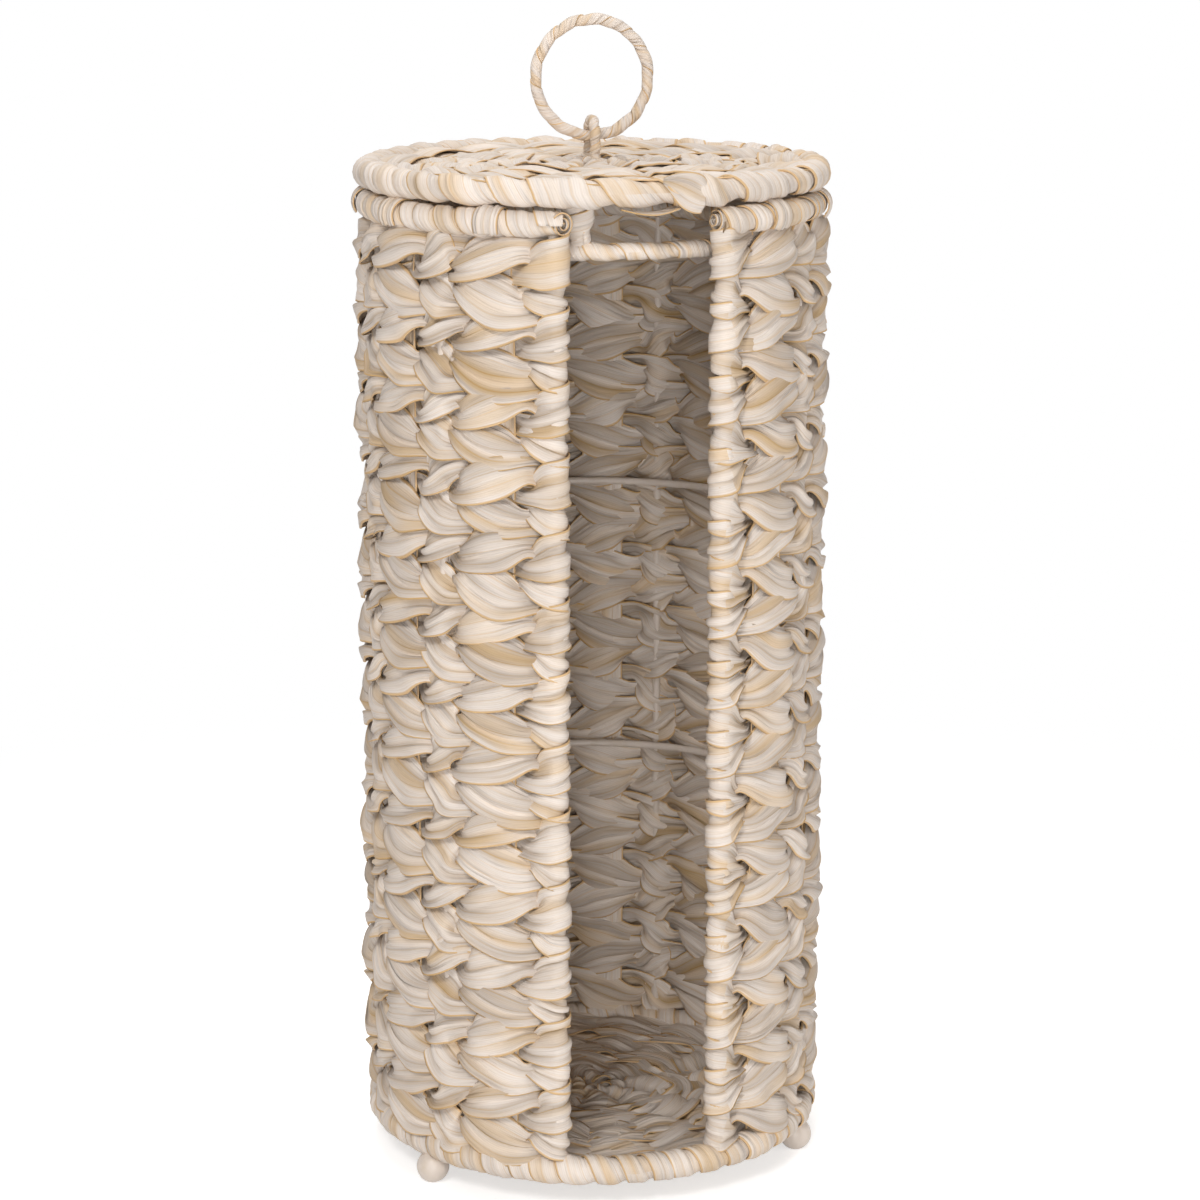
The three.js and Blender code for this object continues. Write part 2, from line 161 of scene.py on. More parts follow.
def makePaperStrip(p):    # twisted-paper fibre, laid flat and pressed: satin, ribbed lengthwise
    material, tree = newMaterial("pressed paper fibre strip")
    uv = addNode(tree, "UVMap", uv_map="strip")[0]
    across = addNode(tree, "SeparateXYZ", {0: uv})[1]
    side = maths(tree, "ABSOLUTE", maths(tree, "SUBTRACT", across, 0.5))

    # broad tan bands that wander slowly along the strip, and finer streaks, each a few fibres wide
    bandNoise = stretchedNoise(tree, uv, p["bands"], 1, 0.4)
    band = mapRange(tree, bandNoise, 0.42, 0.76, 0, 0.7, "SMOOTHSTEP")
    streak = mapRange(tree, stretchedNoise(tree, uv, p["streaks"], 2), 0.45, 0.8, 0, 0.35)
    tanShare = maths(tree, "MAXIMUM", band, streak)
    base = mixColours(tree, tanShare, hexColour(p["pale"]), hexColour(p["tan"]))
    # the bound edges, and thin lines of stronger colour at the quarters, where the strip creases
    edge = mapRange(tree, side, *p["edgeAt"])
    toLine = maths(tree, "PINGPONG", across, p["lineEvery"])
    line = mapRange(tree, toLine, *p["lineFade"], 1, 0)
    edgeShare = maths(tree, "MAXIMUM", edge, maths(tree, "MULTIPLY", line, bandNoise))
    edged = mixColours(tree, edgeShare, base, hexColour(p["selvedge"]))
    # ribs: a wave across the strip, with painted shade down in its grooves
    ribWave = maths(tree, "COSINE", maths(tree, "MULTIPLY", across, 2 * math.pi * p["ribs"]))
    grooved = mixColours(tree, mapRange(tree, ribWave, 0.2, 1, 0, 0.16), edged, hexColour(p["grooveShade"]))
    # each leaf is a shade lighter or darker than its neighbours; painted shade, with some dust where it is
    # gathered, makes it darker and browner where it is gathered and down in its creases
    shade = addNode(tree, "Attribute", attribute_name="shade")["Fac"]
    tone = mapRange(tree, shade, -2, 1, 0.5, 1.05)
    warmth = mapRange(tree, shade, -2, 0.3, 1.5, 1)
    coloured = addNode(tree, "HueSaturation", {"Color": grooved, "Value": tone, "Saturation": warmth})[0]

    # lengthwise creases a few millimetres apart, and the ribs and fibres over them
    crease = stretchedNoise(tree, uv, p["creases"], 2)
    creased = addNode(tree, "Bump", {"Height": crease, "Strength": 0.8, "Distance": p["creaseDepth"] * mm})[0]
    fibre = stretchedNoise(tree, uv, p["fibres"], 3)
    ribHeight = maths(tree, "MULTIPLY_ADD", ribWave, -0.5, 0.5)
    ribbed = addNode(tree, "Bump", {"Height": maths(tree, "MULTIPLY_ADD", fibre, 0.6, ribHeight),
                                    "Strength": 0.3, "Distance": p["ribDepth"] * mm, "Normal": creased})[0]
    shader = addNode(tree, "BsdfPrincipled", {"Base Color": coloured, "Normal": ribbed, "IOR": 1.45,
                                              "Roughness": p["roughness"], "Specular IOR Level": 0.35})[0]
    addNode(tree, "OutputMaterial", {0: shader})
    return material


paintedSteel = {"paint": "#DDD1C6", "worn": "#CBBBA6", "roughness": 0.38, "spots": 160, "spotDepth": 0.2}


def makePaintedSteel(p):    # drawn steel wire, sprayed cream: smooth, with thin spots in the paint
    material, tree = newMaterial("sprayed steel wire")
    place = addNode(tree, "TexCoord")["Object"]
    spots = addNode(tree, "TexNoise", {0: place, "Scale": p["spots"], "Detail": 4})[0]
    thin = mapRange(tree, spots, 0.52, 0.75, 0, 0.6)
    colour = mixColours(tree, thin, hexColour(p["paint"]), hexColour(p["worn"]))
    bump = addNode(tree, "Bump", {"Height": spots, "Strength": 0.15, "Distance": p["spotDepth"] * mm})[0]
    shader = addNode(tree, "BsdfPrincipled", {"Base Color": colour, "Normal": bump,
                                              "Roughness": p["roughness"], "Specular IOR Level": 0.5})[0]
    addNode(tree, "OutputMaterial", {0: shader})
    return material


stripMaterial = makePaperStrip(paperStrip)
wireMaterial = makePaintedSteel(paintedSteel)
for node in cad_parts.values():
    node.data.materials.clear()
    node.data.materials.append(wireMaterial)
print("materials ready")


# strip: every piece of it is a thin closed shell on a grid of stations along and across
def stripGrid(front, outward, along, across, shade, closed):
    # front: the outer face's points; outward: which way each faces; closed: the strip ends where it began
    rows, columns = front.shape[:2]
    back = front - outward * basket["stripThick"]
    spans = rows if closed else rows - 1
    vertices = np.concatenate([front.reshape(-1, 3), back.reshape(-1, 3)]) * mm
    i, j = np.meshgrid(np.arange(spans), np.arange(columns - 1), indexing="ij")
    i, j = i.ravel(), j.ravel()
    flat = rows * columns

    def corners(cells, layers):    # vertex numbers and grid places of one quad per cell; layer 1 is the back
        numbers = np.stack([(a % rows) * columns + b + flat * layer
                            for (a, b), layer in zip(cells, layers)], axis=-1)
        grid = np.stack([np.stack([a, b], axis=-1) for a, b in cells], axis=1)
        return numbers, grid

    k = np.arange(spans)
    low, high = np.zeros(spans, int), np.full(spans, columns - 1)
    quads = [    # the front, the back and the two long edges
        corners([(i, j), (i + 1, j), (i + 1, j + 1), (i, j + 1)], [0, 0, 0, 0]),
        corners([(i, j + 1), (i + 1, j + 1), (i + 1, j), (i, j)], [1, 1, 1, 1]),
        corners([(k, low), (k, low), (k + 1, low), (k + 1, low)], [0, 1, 1, 0]),
        corners([(k + 1, high), (k + 1, high), (k, high), (k, high)], [0, 1, 1, 0]),
    ]
    if not closed:    # the two cut ends
        c = np.arange(columns - 1)
        first, last = np.zeros(columns - 1, int), np.full(columns - 1, rows - 1)
        quads.append(corners([(first, c), (first, c + 1), (first, c + 1), (first, c)], [0, 0, 1, 1]))
        quads.append(corners([(last, c + 1), (last, c), (last, c), (last, c + 1)], [0, 0, 1, 1]))
    numbers = np.concatenate([q[0] for q in quads])
    grid = np.concatenate([q[1] for q in quads])

    lengthwise = np.roll(front, -1, axis=0)[:-1] - front[:-1]
    crosswise = front[:-1, -1:] - front[:-1, :1]
    facing = np.sum(np.cross(lengthwise, np.broadcast_to(crosswise, lengthwise.shape)) * outward[:-1])
    if facing < 0:
        numbers, grid = numbers[:, ::-1], grid[:, ::-1]
    alongAll = np.append(along, 2 * along[-1] - along[-2]) if closed else along
    uv = np.stack([alongAll[grid[..., 0]] * mm, across[grid[..., 1]] * 0.5 + 0.5], axis=-1)
    tone = np.broadcast_to(shade.reshape(rows, -1), (rows, columns)).ravel()
    return vertices, numbers, uv, np.concatenate([tone, tone])


def stripPiece(name, parts, body, replaced=()):
    vertices, numbers, uv, tone = [], [], [], []
    count = 0
    for part in parts:
        vertices.append(part[0])
        numbers.append(part[1] + count)
        uv.append(part[2].reshape(-1, 2))
        tone.append(part[3])
        count += len(part[0])
    mesh = bpy.data.meshes.new(name)
    mesh.from_pydata(np.concatenate(vertices).tolist(), [], np.concatenate(numbers).tolist())
    layer = mesh.uv_layers.new(name="strip")
    layer.data.foreach_set("uv", np.concatenate(uv).ravel().astype(np.float32))
    attribute = mesh.attributes.new("shade", "FLOAT", "POINT")
    attribute.data.foreach_set("value", np.concatenate(tone).astype(np.float32))
    mesh.shade_smooth()
    mesh.materials.append(stripMaterial)
    piece = bpy.data.objects.new(name, mesh)
    bpy.context.scene.collection.objects.link(piece)
    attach(piece, body)
    if replaced:
        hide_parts(*replaced)


def stripAlongPath(centre, width, lift, tilt, shade, up, closed, startAt, across, drift=0):
    # centre: stations; width: half widths; lift: height of each point above the centre line;
    # startAt: where in the strip's pattern it begins; drift: how far a point is shifted across
    if closed:
        direction = unit(np.roll(centre, -1, axis=0) - np.roll(centre, 1, axis=0))
    else:
        direction = unit(np.gradient(centre, axis=0))
    side = unit(up - np.sum(up * direction, axis=-1, keepdims=True) * direction)
    outward = np.cross(direction, side)
    turned = side * np.cos(tilt)[:, None] - outward * np.sin(tilt)[:, None]
    facing = outward * np.cos(tilt)[:, None] + side * np.sin(tilt)[:, None]
    reach = width[:, None] * (across + drift)
    front = centre[:, None] + turned[:, None] * reach[..., None] + facing[:, None] * lift[..., None]
    steps = np.linalg.norm(np.diff(centre, axis=0), axis=-1)
    along = startAt + np.concatenate([[0], np.cumsum(steps)])
    outwardGrid = np.broadcast_to(facing[:, None], front.shape)
    return stripGrid(front, outwardGrid, along, across, shade, closed)


# the strip's cross section, from -1 to 1: bound edges that stand proud, and three lines where it creases
section = {
    "halfStops": (0, 0.14, 0.25, 0.36, 0.5, 0.66, 0.82, 0.93, 1),
    "beadFrom": 0.9,
    "bead": 0.12,
    "creases": ((-0.5, 1), (0, -1), (0.5, 1)),    # place, and the side on which the crease is steep
    "steepReach": 0.16,
    "gentleReach": 0.5,
    "sharpness": 1.2,
    "driftSharpness": 0.7,
    "crownLevel": 0.45,       # how much of the crown stands over the centre line
    "bendWaves": 1.8,
    "creaseShade": 0.85,      # painted shade: how much darker each millimetre of crease is
}
halfStops = np.array(section["halfStops"])
acrossStops = np.concatenate([-halfStops[:0:-1], halfStops])
selvedgeBead = np.where(np.abs(acrossStops) > section["beadFrom"], section["bead"], 0.0)
creaseReach = []
for line, steepSide in section["creases"]:
    fromLine = (acrossStops - line) * steepSide
    away = np.where(fromLine > 0, fromLine / section["steepReach"], -fromLine / section["gentleReach"])
    creaseReach.append(np.clip(1 - away, 0, 1))
creaseCount = len(creaseReach)


# f, the form of a strip: one value at each station for its crown, bend, creases, drifts and shade
def stripCreases(f):    # depth of the creases at every point
    sharpness = section["sharpness"]
    return sum(f[f"crease{i}"][:, None] * creaseReach[i] ** sharpness for i in range(creaseCount))


def stripRelief(f):    # height over the centre line: a crowned back, slow bends, sharp creases
    v = acrossStops[None, :]
    crown = f["crown"][:, None] * (section["crownLevel"] - v ** 2)
    bend = f["bend"][:, None] * np.sin(section["bendWaves"] * math.pi * v + f["bendPhase"][:, None])
    return crown + bend - stripCreases(f) + selvedgeBead[None, :]


def stripDrift(f):    # how far the creases wander across the strip
    sharpness = section["driftSharpness"]
    return sum(f[f"drift{i}"][:, None] * creaseReach[i] ** sharpness for i in range(creaseCount))


def stripShade(f):    # painted shade: the strip is darker down in the creases
    return f["shade"][:, None] - section["creaseShade"] * np.clip(stripCreases(f), 0, None)


# the twined wall
wall = {
    "rows": 26,
    "stepsPerStake": 14,
    "narrowCells": 0.1,       # how much shorter a leaf is over a wire than over a ribbon
    "sway": 0.08,             # how far a row's crossings wander, as a share of the uprights' pitch
    "shift": 0.6,             # the strands run a little outside the uprights
    "outside": 3.1,           # centre line of a leaf outside the uprights
    "inside": 2.7,
    "linger": 0.15,           # both strands are outside for a moment where they cross
    "steep": 1.8,             # how quickly a strand goes from one side of the uprights to the other
    "climb": 3.8,             # from the middle of a leaf to its ends
    "straight": 0.6,          # 0 for leaves that wave, 1 for straight ones with a sharp turn between them
    "headTurn": 0.35,         # a strand turns sharply at the heads and gently at the tails
    "postRise": 0.35,         # share of the climb that a strand has made where it rounds a post
    "sharpTurn": 0.98,        # how sharp that turn is, under 1
    "ribbonHalf": 8.4,        # half width of a leaf over a ribbon, over a wire, at a post
    "wireHalf": 7.9,
    "postHalf": 8.2,
    # along a strand, 0 at the middle of a leaf outside and 180 inside: gathered only where it comes out
    "leafAt": (-180, -135, -90, -45, 0, 45, 90, 135, 180),
    "leafShare": (1.0, 0.84, 0.6, 0.88, 1.0, 0.98, 0.84, 0.9, 1.0),    # of its half width
    "tuckShare": 0.45,        # share of a post leaf's end beside the right post
    "gatherShadeAndDust": 1.5,             # painted shade, with some dust: how much darker the strip is where it is gathered
    "crossTilt": 20,
    "shingle": 8,
    "postShingle": 2,
    "over": 0.35,             # where leaves meet, the upper lies over the lower
    "postOver": 0.35,         # every other row lies over its neighbours at a post
    "tailLoss": 0.2,          # how much narrower than that some tails are
    "crown": 1.3,
    "roll": 1.5,              # the upper edge lies back under the leaf above
    "bend": 0.3,
    "crease": 3.6,
    "creaseLimit": 1.7,
    "postRadius": 4.9,
    "seed": 11,
}
wallBottom, wallTop = nodeHeights("wall_weave")
rowPitch = (wallTop - wallBottom) / wall["rows"]


def wallStrand(at, shift, sway, lean, rowHeight, rng):
    w = wall
    stakes = basket["stakes"] + 2
    phase = at * math.pi
    swing, cross = np.cos(phase + shift), np.sin(phase + shift)
    fromPost = np.minimum(at, stakes - 1 - at)
    ease = smoothStep(fromPost, 0, 0.5)    # 0 at a post, 1 from the first crossing on
    knots = np.arange(stakes)
    halfKnots = np.arange(2 * stakes - 1) / 2

    def jitter(spread):    # one value for each leaf
        return np.interp(at, knots, rng.uniform(-spread, spread, stakes))

    def wander(low, high):    # two values for each leaf
        return np.interp(at, halfKnots, rng.uniform(low, high, len(halfKnots)))

    squared = np.tanh(w["steep"] * (swing + w["linger"])) / math.tanh(w["steep"])
    out = swing + (squared - swing) * ease    # across the gap between two uprights in a short length
    reach = np.where(out > 0, w["outside"], w["inside"]) * ease + w["postRadius"] * (1 - ease)
    turn = math.radians(basket["slotHalfTurn"]) + math.radians(stakeTurn) * (
        at - w["narrowCells"] * np.sin(phase) + sway)
    offset = w["shift"] - w["over"] * lean * cross + jitter(0.6)
    radius = basket["stakeRadius"] + reach * out + offset * ease
    radius += w["postOver"] * lean * swing * (1 - ease)
    ending = (1 if shift == 0 else -1) * np.where(at < stakes / 2, 1, -1)    # tail or head beside a post
    wave = np.sin(phase + shift + w["headTurn"] * np.cos(phase + shift))
    zigzag = np.arcsin(w["sharpTurn"] * wave) / math.asin(w["sharpTurn"])
    wave += w["straight"] * (zigzag - wave)
    rise = np.where(fromPost < 0.5, ending * (w["postRise"] + (1 - w["postRise"]) * 2 * fromPost), wave)
    height = rowHeight + lean * w["climb"] * rise * (1 + jitter(0.3) * ease) + jitter(1.3) * ease

    ribbonShare = 0.5 - 0.5 * np.cos(phase)
    middle = w["wireHalf"] + (w["ribbonHalf"] - w["wireHalf"]) * ribbonShare
    middle = middle * (1 + jitter(0.14)) * ease + w["postHalf"] * (1 - ease)
    alongLeaf = (np.degrees(phase + shift) + 180) % 360 - 180
    share = np.interp(alongLeaf, w["leafAt"], w["leafShare"])
    tail = smoothStep(alongLeaf, 20, 100) * (1 - smoothStep(alongLeaf, 100, 170))
    share *= 1 - (w["tailLoss"] + jitter(w["tailLoss"])) * tail
    share = share * ease + (1 - ease)
    tucked = (alongLeaf > 0) * (1 - smoothStep(at, 0.7, 1.0)) * cross ** 2
    share = share + (w["tuckShare"] - share) * tucked

    shingle = w["shingle"] * ease + w["postShingle"] * (1 - ease)
    loose = 0.7 + 0.3 * ease
    form = {
        "turn": turn, "radius": radius, "height": height, "width": middle * share,
        "tilt": np.radians(w["crossTilt"] * cross ** 2 * ease + shingle * swing + jitter(6) * ease),
        "crown": w["crown"] * (1 + jitter(0.3)) * swing * (0.1 + 0.9 * ease),
        "bend": w["bend"] * (1 + jitter(0.6)) * loose,
        "bendPhase": wander(0, 5),
        "roll": w["roll"] * swing * ease,
        # painted shade, with some dust: each leaf darkens where it is gathered
        "shade": np.interp(at, knots, rng.uniform(0, 1, stakes)) - w["gatherShadeAndDust"] * (1 - share),
    }
    for i in range(creaseCount):
        depth = w["crease"] * (1.55 - share) * wander(-0.5, 1.6) * loose
        form[f"crease{i}"] = np.clip(depth, -0.4, w["creaseLimit"] * (0.4 + 0.6 * share))
        form[f"drift{i}"] = wander(-0.12, 0.12)
    return form


def twinedRow(row):
    w = wall
    rng = np.random.RandomState(w["seed"] + row)
    lean = 1 if row % 2 else -1
    rowHeight = wallBottom + (row + 0.5) * rowPitch
    spans = basket["stakes"] + 1
    at = np.arange(spans * w["stepsPerStake"] + 1) / w["stepsPerStake"]
    swayKnots = rng.uniform(-1, 1, 2 * spans + 1) * w["sway"]
    swayKnots[[0, -1]] = 0
    sway = np.interp(at, np.arange(2 * spans + 1) / 2, swayKnots)
    going = wallStrand(at, 0.0, sway, lean, rowHeight, rng)
    coming = wallStrand(at, math.pi, sway, lean, rowHeight, rng)
    bend = np.arange(1, 10) / 10 * math.pi

    def aroundPost(side, fromInside):    # half a turn round a post, on the slot's side of it
        turn = side * math.radians(basket["slotHalfTurn"])
        centre = around(basket["stakeRadius"], turn, rowHeight)
        outwards = unit(around(1.0, turn, 0.0))
        toSlot = -side * np.array([math.cos(turn), math.sin(turn), 0])
        face = -np.cos(bend) if fromInside else np.cos(bend)
        reach = w["postRadius"] + w["postOver"] * lean
        climb = np.outer(lean * w["climb"] * w["postRise"] * (2 * bend / math.pi - 1), [0, 0, 1])
        return centre + climb + reach * (face[:, None] * outwards + np.sin(bend)[:, None] * toSlot)

    # out along one strand, round the left post, back along the other, round the right post
    form = {}
    for key in going:
        back = coming[key][::-1] * (-1 if key in ("tilt", "crown", "roll") else 1)
        atLeft = going[key][-1] + (back[0] - going[key][-1]) * bend / math.pi
        atRight = back[-1] + (going[key][0] - back[-1]) * bend / math.pi
        form[key] = soften(np.concatenate([going[key], atLeft, back, atRight]), 2)
    centre = soften(np.concatenate([
        around(going["radius"], going["turn"], going["height"]), aroundPost(-1, False),
        around(coming["radius"], coming["turn"], coming["height"])[::-1], aroundPost(1, True)]), 2)
    up = np.array([0.0, 0.0, 1.0])
    upperEdge = smoothStep(acrossStops, 0.2, 1.1)
    lift = stripRelief(form) - form["roll"][:, None] * upperEdge[None, :]
    return stripAlongPath(centre, form["width"], lift, form["tilt"], stripShade(form), up,
                          True, startAt=row * 1370.0, across=acrossStops, drift=stripDrift(form))


def makeWall():
    for row in range(wall["rows"]):
        stripPiece(f"wall_row_{row + 1:02d}", [twinedRow(row)], "basket", ["wall_weave"])
    print("wall twined:", wall["rows"], "rows")


# strip wound round a wire
def ringPath(radius, height):
    def place(x):    # centre, the way out and the way up at a length x along the ring
        turn = x / radius
        out = around(1.0, turn, 0.0)
        up = np.broadcast_to(np.array([0.0, 0.0, 1.0]), out.shape)
        return around(radius, turn, height), out, up
    return place


def woundStrip(place, start, length, w, closed, seed):
    rng = np.random.RandomState(seed)
    turns = max(2, round(length / w["pitch"]))
    pitch = length / turns
    segments = w["segments"]
    count = turns * segments + (0 if closed else 1)
    angle = np.arange(count) * 2 * math.pi / segments
    wander = rng.uniform(-1, 1, turns)
    share = np.arange(count) / segments
    if closed:
        knots = np.append(wander, wander[0])
    else:
        knots = np.concatenate([[0], wander[1:], [0]])
    shift = np.interp(share, np.arange(turns + 1), knots) * w["wander"] * pitch

    def perTurn(low, high):    # one value for each turn of the winding
        values = rng.uniform(low, high, turns + 1)
        if closed:
            values[-1] = values[0]
        return np.interp(share, np.arange(turns + 1), values)

    middle = start + share * pitch + shift
    across = acrossStops
    width = w["width"] * perTurn(0.86, 1.12)
    layers = w["width"] / pitch
    uncovered = np.clip((across + 1) / 2 * layers, 0, 1)    # the part that no later turn covers
    puff = w["puff"] * np.sin(math.pi * uncovered)
    rise = w["step"] * layers * (1 - across) / 2
    form = {f"crease{i}": w["crease"] * perTurn(-0.3, 1.3) for i in range(creaseCount)}
    form["shade"] = perTurn(0.1, 1)
    radius = w["radius"] + rise + perTurn(0.4, 1.3)[:, None] * puff - stripCreases(form)
    x = middle[:, None] + across * width[:, None] / 2
    if not closed:
        x = np.clip(x, start, start + length)
    centre, out, up = place(x)
    spin = w["hand"] * angle + w["begin"]
    oval = w.get("oval", 1) * (1 + w.get("flare", 0) * (1 - share / turns))[:, None, None]
    facing = np.cos(spin)[:, None, None] * out + np.sin(spin)[:, None, None] * up * oval
    front = centre + radius[..., None] * facing
    facing = unit(facing)
    along = np.arange(count) * (2 * math.pi * (w["radius"] + 1)) / segments + seed * 711.0
    return stripGrid(front, facing, along, across, stripShade(form), closed)


rimWinding = {"radius": 3.9, "pitch": 8.5, "width": 16, "segments": 18, "step": 0.5,
              "puff": 0.7, "crease": 0.4, "wander": 0.35, "hand": -1, "begin": 0.0}
baseRim = dict(rimWinding, radius=4.0, pitch=9.2, puff=0.8)
topRim = dict(rimWinding, radius=3.6, pitch=9.0, puff=0.7)
lidRim = dict(rimWinding, radius=3.8, pitch=14, puff=1.2, crease=0.6, width=21, wander=0.3)
locatingRim = dict(rimWinding, radius=2.3, pitch=9.0, width=14, puff=0.4, crease=0.25, step=0.4, segments=14)


def makeRims():
    radius = basket["rimRadius"]
    circle = 2 * math.pi * radius
    height = nodeMiddle("base_rim_wire")
    stripPiece("base_rim_winding", [woundStrip(ringPath(radius, height), 0, circle, baseRim, True, 3)],
               "basket", ["base_rim_wrap"])
    height = nodeMiddle("top_rim_wire")
    begin = math.radians(basket["slotHalfTurn"] - basket["rimPastPost"]) * radius
    stripPiece("top_rim_winding",
               [woundStrip(ringPath(radius, height), begin, circle - 2 * begin, topRim, False, 4)],
               "basket", ["top_rim_wrap"])
    height = nodeMiddle("lid_rim_wire")
    stripPiece("lid_rim_winding", [woundStrip(ringPath(radius, height), 0, circle, lidRim, True, 5)],
               "lid", ["lid_rim_wrap"])
    low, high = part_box("locating_ring_wire")
    radius = (high.x - low.x) / 2 / mm - basket["locatingWire"]
    stripPiece("locating_ring_winding",
               [woundStrip(ringPath(radius, nodeMiddle("locating_ring_wire")), 0, 2 * math.pi * radius,
                           locatingRim, True, 6)], "lid", ["locating_ring_wrap"])
    print("rims wound")


# twined discs of the lid and the base
disc = {
    "rings": [(10.5, 8), (22.5, 8), (34.5, 8), (46.5, 16), (58, 16), (68.5, 16)],    # radius and spokes
    "climb": 3.0, "out": 1.7, "in": 1.5, "lead": 24, "half": 9.0, "pinch": 7.9, "crossTilt": 7,
    "crown": 1.0, "bend": 0.3, "crease": 1.6, "steps": 13, "edge": 71,
}
lidDisc = dict(disc, name="lid", dome=2.0, edgeLift=2.2, seed=100)
baseDisc = dict(disc, name="base", dome=0.0, edgeLift=0.0, seed=200)


def discRow(d, radius, spokes, height, lean, seed):
    rng = np.random.RandomState(seed)
    parts = []
    steps = d["steps"]
    phase = np.arange(spokes * steps) * math.pi / steps
    turn = phase / math.pi * 2 * math.pi / spokes
    at = phase / math.pi
    knots = np.arange(spokes + 1)
    for shift in (0.0, math.pi):
        def jitter(spread):
            values = rng.uniform(-spread, spread, spokes)
            return np.interp(at, knots, np.append(values, values[0]))
        swing = np.cos(phase + shift)
        out = np.cos(phase + shift + math.radians(d["lead"]))
        reach = np.where(out > 0, d["out"], d["in"])
        inner = 0.75 if radius < 20 else 1    # the first row round the middle is made of narrower leaves
        climb = lean * d["climb"] * inner * np.sin(phase + shift) * (1 + jitter(0.2))
        distance = radius + climb + jitter(0.6)
        level = height + d["dome"] * (1 - (distance / d["edge"]) ** 2) + reach * out + jitter(0.35)
        level = level + d["edgeLift"] * smoothStep(distance, 58, 72)
        bulge = np.abs(swing) ** 0.7
        width = (d["pinch"] + (d["half"] * (1 + jitter(0.1)) - d["pinch"]) * bulge) * inner
        tilt = np.radians(lean * d["crossTilt"] * np.sin(phase) ** 2 + jitter(5))
        centre = soften(around(distance, turn, level), 1)
        # a random tone for each leaf, with painted shade where the leaf is pinched
        form = {"crown": d["crown"] * swing, "bend": d["bend"] * (1 + jitter(0.6)), "bendPhase": jitter(3.0),
                "shade": 0.5 + jitter(0.5) - 0.6 * (1 - bulge)}
        for i in range(creaseCount):
            form[f"crease{i}"] = d["crease"] * (1.5 - bulge) * (0.55 + jitter(0.9))
        outward = unit(around(1.0, turn, 0.0))
        lift, shade = -stripRelief(form)[:, ::-1], stripShade(form)[:, ::-1]
        parts.append(stripAlongPath(centre, width, lift, tilt, shade, outward, True,
                                    startAt=seed * 531.0, across=acrossStops[::-1]))
    return parts


def makeDiscs():
    for d, body in ((lidDisc, "lid"), (baseDisc, "basket")):
        height = nodeMiddle(d["name"] + "_spoke_wires")
        for i, (radius, spokes) in enumerate(d["rings"]):
            parts = discRow(d, radius, spokes, height, 1 if i % 2 else -1, d["seed"] + i)
            stripPiece(f"{d['name']}_row_{i + 1}", parts, body, [d["name"] + "_weave"])
    print("lid and base twined")


# the upright ribbons: each runs up between the rows, folds over the top rim and ends in front of it
ribbon = {
    "half": 7.7, "tabHalf": 4.6, "foldFrom": 329, "rimHeight": 341, "tabRadius": 5.5, "topRadius": 5.0,
    "tabEnd": -48, "steps": 34, "bow": 0.42, "seed": 31,
}


def makeRibbons():
    p = ribbon
    rng = np.random.RandomState(p["seed"])
    for i in range((basket["stakes"] + 1) // 2):
        turn = math.radians(basket["slotHalfTurn"] + stakeTurn * (2 * i + 1))
        heights = np.linspace(wallBottom - 4, p["foldFrom"], p["steps"])
        straight = around(basket["stakeRadius"], turn, heights)
        end = p["tabEnd"] + rng.uniform(-9, 9)
        angles = np.radians(np.linspace(186, end, 18))
        reach = p["tabRadius"] + (p["topRadius"] - p["tabRadius"]) * np.clip(np.sin(angles), 0, 1) ** 2
        fold = around(basket["rimRadius"] + reach * np.cos(angles), turn,
                      p["rimHeight"] + reach * np.sin(angles))
        centre = soften(np.concatenate([straight, fold]), 2, closed=False)
        count = len(centre)
        folded = np.clip((np.arange(count) - p["steps"] + 4) / 6, 0, 1)
        width = p["half"] + (p["tabHalf"] - p["half"]) * folded
        uneven = np.interp(np.arange(count), np.linspace(0, count, 9), rng.uniform(-0.05, 0.05, 9))
        width = width * (1 + uneven)
        along = np.linspace(0, count, 12)
        form = {
            "crown": -p["bow"] * (1 - folded),
            "bend": 0.25 * (1 - folded),
            "bendPhase": np.interp(np.arange(count), along, rng.uniform(0, 5, 12)),
        }
        for k in range(creaseCount):
            form[f"crease{k}"] = 0.2 + 0.6 * folded * rng.uniform(0.2, 1)
        side = -unit(np.array([math.cos(turn), math.sin(turn), 0.0]))
        shade = np.interp(np.arange(count), along, rng.uniform(0.1, 0.9, 12))
        strip = stripAlongPath(centre, width, stripRelief(form), np.zeros(count), shade, side,
                               False, startAt=4000.0 + i * 431.0, across=acrossStops)
        stripPiece(f"upright_ribbon_{i + 1:02d}", [strip], "basket", [f"stake_ribbon_{i + 1}"])
    print("ribbons set")


# drawn wire: uprights, posts and hoops
wires = {"sides": 14, "stake": 1.5, "post": 1.9, "hoop": 1.35, "hoopRadius": 70.5, "hoopSteps": 96}


def finishWire(name, body, replaced):
    bpy.ops.mesh.select_all(action="SELECT")
    bpy.ops.mesh.normals_make_consistent(inside=False)
    bpy.ops.object.mode_set(mode="OBJECT")
    bpy.ops.object.transform_apply(location=True, rotation=True, scale=True)
    bpy.ops.object.shade_smooth_by_angle(angle=math.radians(35))
    piece = bpy.context.object
    piece.name = name
    piece.data.materials.append(wireMaterial)
    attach(piece, body)
    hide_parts(*replaced)
    bpy.ops.object.select_all(action="DESELECT")


def uprightWire(name, turn, radius, low, high, node):
    place = around(basket["stakeRadius"], turn, low) * mm
    bpy.ops.mesh.primitive_circle_add(vertices=wires["sides"], radius=radius * mm, fill_type="NGON",
                                      location=place)
    bpy.ops.object.mode_set(mode="EDIT")
    bpy.ops.mesh.select_all(action="SELECT")
    bpy.ops.mesh.extrude_region_move(TRANSFORM_OT_translate={"value": (0, 0, (high - low) * mm)})
    finishWire(name, "basket", [node])


